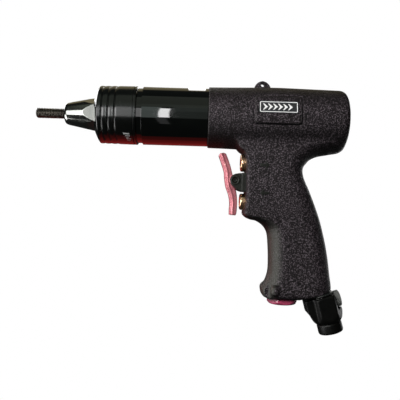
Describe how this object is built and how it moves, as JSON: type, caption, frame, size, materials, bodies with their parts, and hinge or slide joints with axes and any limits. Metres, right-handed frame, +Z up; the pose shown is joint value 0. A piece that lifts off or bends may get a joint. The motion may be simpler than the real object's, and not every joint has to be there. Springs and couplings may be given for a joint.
{
  "type": "pneumatic rivet gun",
  "caption": "Pistol-grip reversible air tool that spins a threaded drive screw to set rivet inserts, with a rocking trigger, exhaust cap and swivel air inlet.",
  "frame": {"origin": "centre of the nosepiece's front face, on the spindle axis, where the drive screw leaves it", "axes": "-X along the drive screw towards the work, +X to the rear of the tool, -Z down the handle, +Z up; the label is on the -Y side"},
  "size_m": [0.2467, 0.0508, 0.1981],
  "materials": {
    "moulding": "coarse grained charcoal moulding",
    "black_steel": "gloss black oxide",
    "dark_steel": "dark polished steel",
    "mandrel_steel": "dark oiled thread",
    "bright_steel": "ground steel",
    "gear_steel": "hardened gear steel",
    "cast_aluminium": "machined aluminium",
    "motor_iron": "ground cast iron",
    "vane": "phenolic laminate",
    "rose_trigger": "rose anodised",
    "exhaust_red": "crimson moulded plastic",
    "brass": "turned brass",
    "rubber": "black nitrile",
    "bronze_filter": "sintered bronze",
    "knob_grey": "knurled grey aluminium",
    "spring_steel": "spring wire",
    "label": "black label with a white frame"
  },
  "bodies": {
    "housing": {"pistol_housing": "moulding", "hanging_eye": "black_steel", "label_plate": "label", "gear_housing": "black_steel", "ring_gear": "gear_steel", "thrust_washer_front": "bright_steel", "thrust_balls": "bright_steel", "spindle_bearing_outer": "bright_steel", "spindle_bearing_balls": "bright_steel", "motor_front_plate": "cast_aluminium", "front_motor_bearing_outer": "bright_steel", "front_motor_bearing_balls": "bright_steel", "motor_cylinder": "motor_iron", "motor_rear_plate": "cast_aluminium", "rear_motor_bearing_outer": "bright_steel", "rear_motor_bearing_balls": "bright_steel", "motor_spring_washer": "spring_steel", "locating_pin": "bright_steel", "trigger_bracket": "black_steel", "trigger_pin": "dark_steel", "reverse_bushing": "brass", "forward_bushing": "brass", "valve_o_rings": "rubber", "reverse_spring": "spring_steel", "forward_spring": "spring_steel", "silencer": "bronze_filter", "exhaust_cap": "exhaust_red", "inlet_bushing": "bright_steel", "inlet_filter": "bronze_filter", "inlet_circlip": "spring_steel"},
    "nose": {"adjusting_sleeve": "black_steel", "sleeve_ring": "rubber", "nosepiece": "dark_steel"},
    "spindle": {"output_spindle": "gear_steel", "planet_pins_2": "bright_steel", "thrust_washer_rear": "bright_steel", "spindle_bearing_inner": "bright_steel", "mandrel": "mandrel_steel"},
    "carrier": {"carrier_1": "gear_steel", "planet_pins_1": "bright_steel"},
    "rotor": {"rotor": "gear_steel", "rotor_vanes": "vane", "front_motor_bearing_inner": "bright_steel", "rear_motor_bearing_inner": "bright_steel"},
    "trigger": {"trigger": "rose_trigger"},
    "reverse_plunger": {"reverse_plunger": "bright_steel"},
    "forward_plunger": {"forward_plunger": "bright_steel"},
    "swivel": {"swivel_body": "black_steel", "hose_socket": "black_steel"},
    "knob": {"regulator_knob": "knob_grey"},
    "planet_2a": {"planet_2a": "gear_steel"},
    "planet_2b": {"planet_2b": "gear_steel"},
    "planet_2c": {"planet_2c": "gear_steel"},
    "planet_1a": {"planet_1a": "gear_steel"},
    "planet_1b": {"planet_1b": "gear_steel"},
    "planet_1c": {"planet_1c": "gear_steel"}
  },
  "joints": [
    {"name": "rotor_spin", "type": "hinge", "parent": "housing", "child": "rotor", "pos_m": [0.16, 0, 0], "axis": [1, 0, 0], "continuous": true},
    {"name": "carrier_spin", "type": "hinge", "parent": "housing", "child": "carrier", "pos_m": [0.09, 0, 0], "axis": [1, 0, 0], "continuous": true},
    {"name": "spindle_spin", "type": "hinge", "parent": "housing", "child": "spindle", "pos_m": [0.05, 0, 0], "axis": [1, 0, 0], "continuous": true},
    {"name": "planet_1a_spin", "type": "hinge", "parent": "carrier", "child": "planet_1a", "pos_m": [0.098, 0, 0.012], "axis": [1, 0, 0], "continuous": true},
    {"name": "planet_1b_spin", "type": "hinge", "parent": "carrier", "child": "planet_1b", "pos_m": [0.098, -0.01039, -0.006], "axis": [1, 0, 0], "continuous": true},
    {"name": "planet_1c_spin", "type": "hinge", "parent": "carrier", "child": "planet_1c", "pos_m": [0.098, 0.01039, -0.006], "axis": [1, 0, 0], "continuous": true},
    {"name": "planet_2a_spin", "type": "hinge", "parent": "spindle", "child": "planet_2a", "pos_m": [0.081, 0, 0.012], "axis": [1, 0, 0], "continuous": true},
    {"name": "planet_2b_spin", "type": "hinge", "parent": "spindle", "child": "planet_2b", "pos_m": [0.081, -0.01039, -0.006], "axis": [1, 0, 0], "continuous": true},
    {"name": "planet_2c_spin", "type": "hinge", "parent": "spindle", "child": "planet_2c", "pos_m": [0.081, 0.01039, -0.006], "axis": [1, 0, 0], "continuous": true},
    {"name": "sleeve_turn", "type": "hinge", "parent": "housing", "child": "nose", "pos_m": [0.04, 0, 0], "axis": [1, 0, 0], "range_deg": [-180, 180]},
    {"name": "trigger_rock", "type": "hinge", "parent": "housing", "child": "trigger", "pos_m": [0.1347, 0, -0.0487], "axis": [0, 1, 0], "range_deg": [-4, 26]},
    {"name": "reverse_valve_slide", "type": "slide", "parent": "housing", "child": "reverse_plunger", "axis": [1, 0, 0], "range_m": [-0.0003, 0.0021], "stiffness_N_per_m": 1200, "deforming": ["reverse_spring"]},
    {"name": "forward_valve_slide", "type": "slide", "parent": "housing", "child": "forward_plunger", "axis": [1, 0, 0], "range_m": [-0.0023, 0.0004], "deforming": ["forward_spring"]},
    {"name": "inlet_swivel", "type": "hinge", "parent": "housing", "child": "swivel", "pos_m": [0.2068, 0, -0.1387], "axis": [0.2706, 0, -0.9627], "continuous": true},
    {"name": "flow_knob_turn", "type": "hinge", "parent": "swivel", "child": "knob", "pos_m": [0.2157, 0, -0.14004], "axis": [0.9627, 0, 0.2706], "range_deg": [0, 270]}
  ],
  "couplings": [
    {"joint": "carrier_spin", "follows": "rotor_spin", "ratio": 0.25},
    {"joint": "spindle_spin", "follows": "rotor_spin", "ratio": 0.0625},
    {"joint": "planet_1a_spin", "follows": "rotor_spin", "ratio": -0.75},
    {"joint": "planet_1b_spin", "follows": "rotor_spin", "ratio": -0.75},
    {"joint": "planet_1c_spin", "follows": "rotor_spin", "ratio": -0.75},
    {"joint": "planet_2a_spin", "follows": "rotor_spin", "ratio": -0.1875},
    {"joint": "planet_2b_spin", "follows": "rotor_spin", "ratio": -0.1875},
    {"joint": "planet_2c_spin", "follows": "rotor_spin", "ratio": -0.1875},
    {"joint": "trigger_rock", "follows": "reverse_valve_slide", "rad_per_m": 200},
    {"joint": "forward_valve_slide", "follows": "reverse_valve_slide", "ratio": -1}
  ]
}
